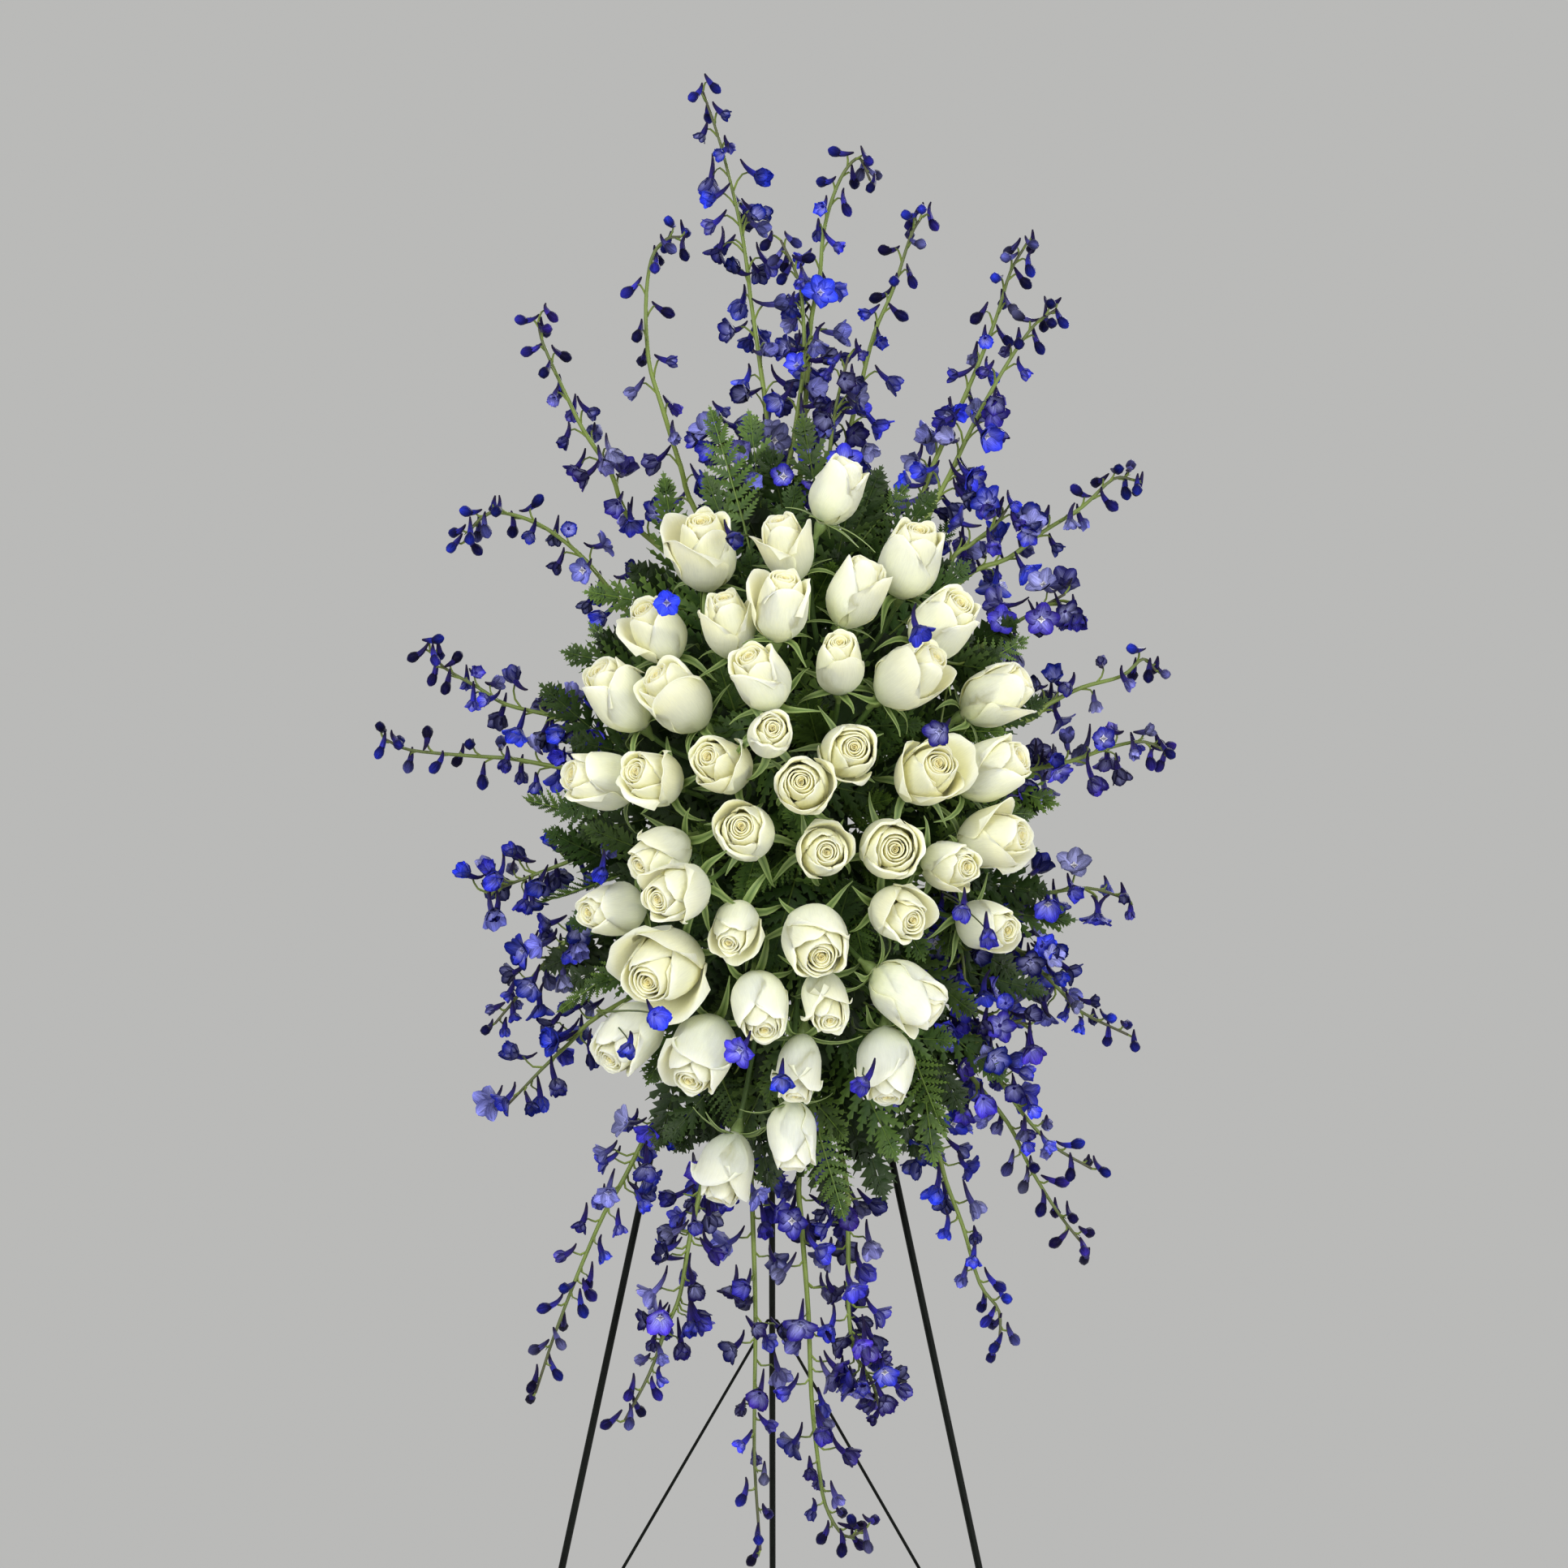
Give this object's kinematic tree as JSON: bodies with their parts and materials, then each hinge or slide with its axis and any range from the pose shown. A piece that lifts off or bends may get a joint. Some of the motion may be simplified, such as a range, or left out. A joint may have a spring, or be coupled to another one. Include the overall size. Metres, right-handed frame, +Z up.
{
  "type": "standing funeral spray",
  "caption": "Standing funeral spray of ivory roses, blue delphiniums and leatherleaf fern in a caged foam block on a folding black wire easel.",
  "frame": {"origin": "on the floor, at the middle of the whole spray's box", "axes": "+Z up, the flowers face -Y, +X to the viewer's right"},
  "size_m": [0.7048, 0.7905, 1.89],
  "materials": {
    "easel_black": "satin black enamel over drawn steel wire",
    "cage_green": "moulded dark green plastic grid, semi-gloss",
    "foam_green": "wet floral foam, dark green, fine open cells",
    "rose_ivory": "soft translucent petals, ivory with a warm yellow heart and a greenish base",
    "rose_green": "waxy green sepals, hips and stems of the roses",
    "delphinium_blue": "soft blue to violet sepals, indigo buds, a pale eye",
    "delphinium_green": "yellow-green stems and thin purplish flower stalks of the delphiniums",
    "fern_green": "leathery glossy dark green leaflets"
  },
  "bodies": {
    "spray": {"front_leg_left": "easel_black", "front_leg_right": "easel_black", "hinge_bar": "easel_black", "cross_bar": "easel_black", "top_hook": "easel_black", "foam_cage": "cage_green", "floral_foam": "foam_green", "roses_01": "rose_ivory", "roses_02": "rose_ivory", "roses_03": "rose_ivory", "roses_04": "rose_ivory", "roses_05": "rose_ivory", "roses_06": "rose_ivory", "roses_07": "rose_ivory", "roses_08": "rose_ivory", "roses_09": "rose_ivory", "roses_10": "rose_ivory", "roses_11": "rose_ivory", "roses_12": "rose_ivory", "roses_13": "rose_ivory", "roses_14": "rose_ivory", "roses_15": "rose_ivory", "roses_16": "rose_ivory", "roses_17": "rose_ivory", "roses_18": "rose_ivory", "roses_19": "rose_ivory", "roses_20": "rose_ivory", "roses_21": "rose_ivory", "roses_22": "rose_ivory", "roses_23": "rose_ivory", "delphiniums_01": "delphinium_blue", "delphiniums_02": "delphinium_blue", "delphiniums_03": "delphinium_blue", "delphiniums_04": "delphinium_blue", "delphiniums_05": "delphinium_blue", "delphiniums_06": "delphinium_blue", "delphiniums_07": "delphinium_blue", "delphiniums_08": "delphinium_blue", "delphiniums_09": "delphinium_blue", "delphiniums_10": "delphinium_blue", "delphiniums_11": "delphinium_blue", "delphiniums_12": "delphinium_blue", "delphiniums_13": "delphinium_blue", "delphiniums_14": "delphinium_blue", "delphiniums_15": "delphinium_blue", "delphiniums_16": "delphinium_blue", "delphiniums_17": "delphinium_blue", "fern_fronds_01": "fern_green", "fern_fronds_02": "fern_green", "fern_fronds_03": "fern_green", "fern_fronds_04": "fern_green", "fern_fronds_05": "fern_green", "fern_fronds_06": "fern_green", "fern_fronds_07": "fern_green", "fern_fronds_08": "fern_green", "fern_fronds_09": "fern_green", "fern_fronds_10": "fern_green", "fern_fronds_11": "fern_green"},
    "back_leg": {"back_leg": "easel_black"},
    "spreader": {"spreader": "easel_black"}
  },
  "joints": [
    {"name": "back_leg_fold", "type": "hinge", "parent": "spray", "child": "back_leg", "pos_m": [-0.007, -0.02975, 1.36], "axis": [1, 0, 0], "range_deg": [-24, 0]},
    {"name": "spreader_fold", "type": "hinge", "parent": "spray", "child": "spreader", "pos_m": [-0.007, -0.16386, 0.44], "axis": [1, 0, 0], "range_deg": [0, 36]}
  ],
  "couplings": [
    {"joint": "spreader_fold", "follows": "back_leg_fold", "ratio": -1.5}
  ]
}
